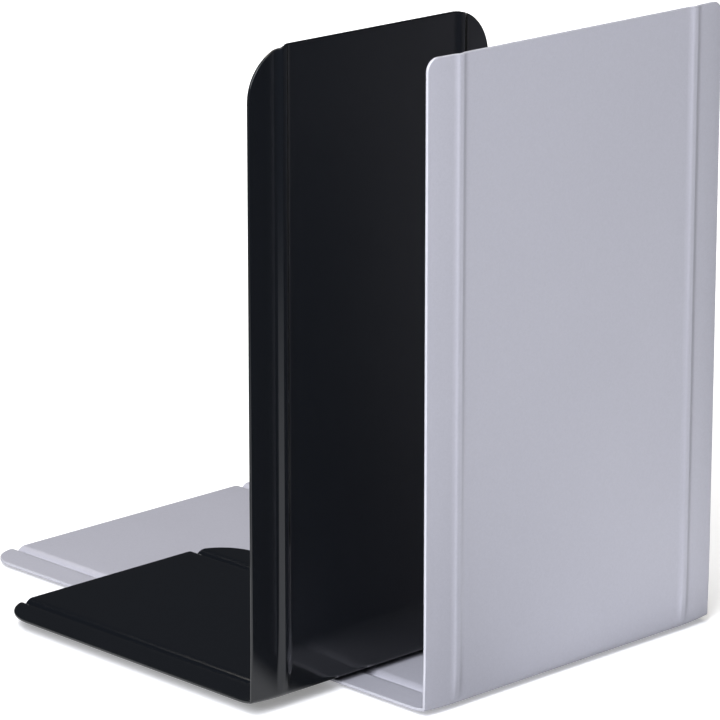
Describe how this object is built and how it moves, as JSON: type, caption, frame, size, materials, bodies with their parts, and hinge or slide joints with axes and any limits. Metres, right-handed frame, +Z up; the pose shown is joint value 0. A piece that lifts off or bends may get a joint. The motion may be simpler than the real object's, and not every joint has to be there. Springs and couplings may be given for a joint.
{
  "type": "book ends",
  "caption": "Pair of L-shaped sheet-steel book ends with pressed ribs, a wide silver-grey one and a narrower black one standing on its base.",
  "frame": {"origin": "middle of the pair's footprint on the shelf, at the height of the crests of the silver book end's ribs", "axes": "+X across the book ends, +Y from the plates towards the free ends of the bases (the side where the books stand), +Z up"},
  "size_m": [0.1966, 0.248, 0.243],
  "materials": {
    "silver_paint": "fine-grained satin silver-grey lacquer",
    "black_paint": "smooth semi-gloss black lacquer"
  },
  "bodies": {
    "silver": {"silver_book_end": "silver_paint"},
    "black": {"black_book_end": "black_paint"}
  },
  "joints": [
    {"name": "shelf_slide", "type": "slide", "parent": "silver", "child": "black", "axis": [0, 1, 0], "range_m": [-0.039, 0.15]}
  ]
}
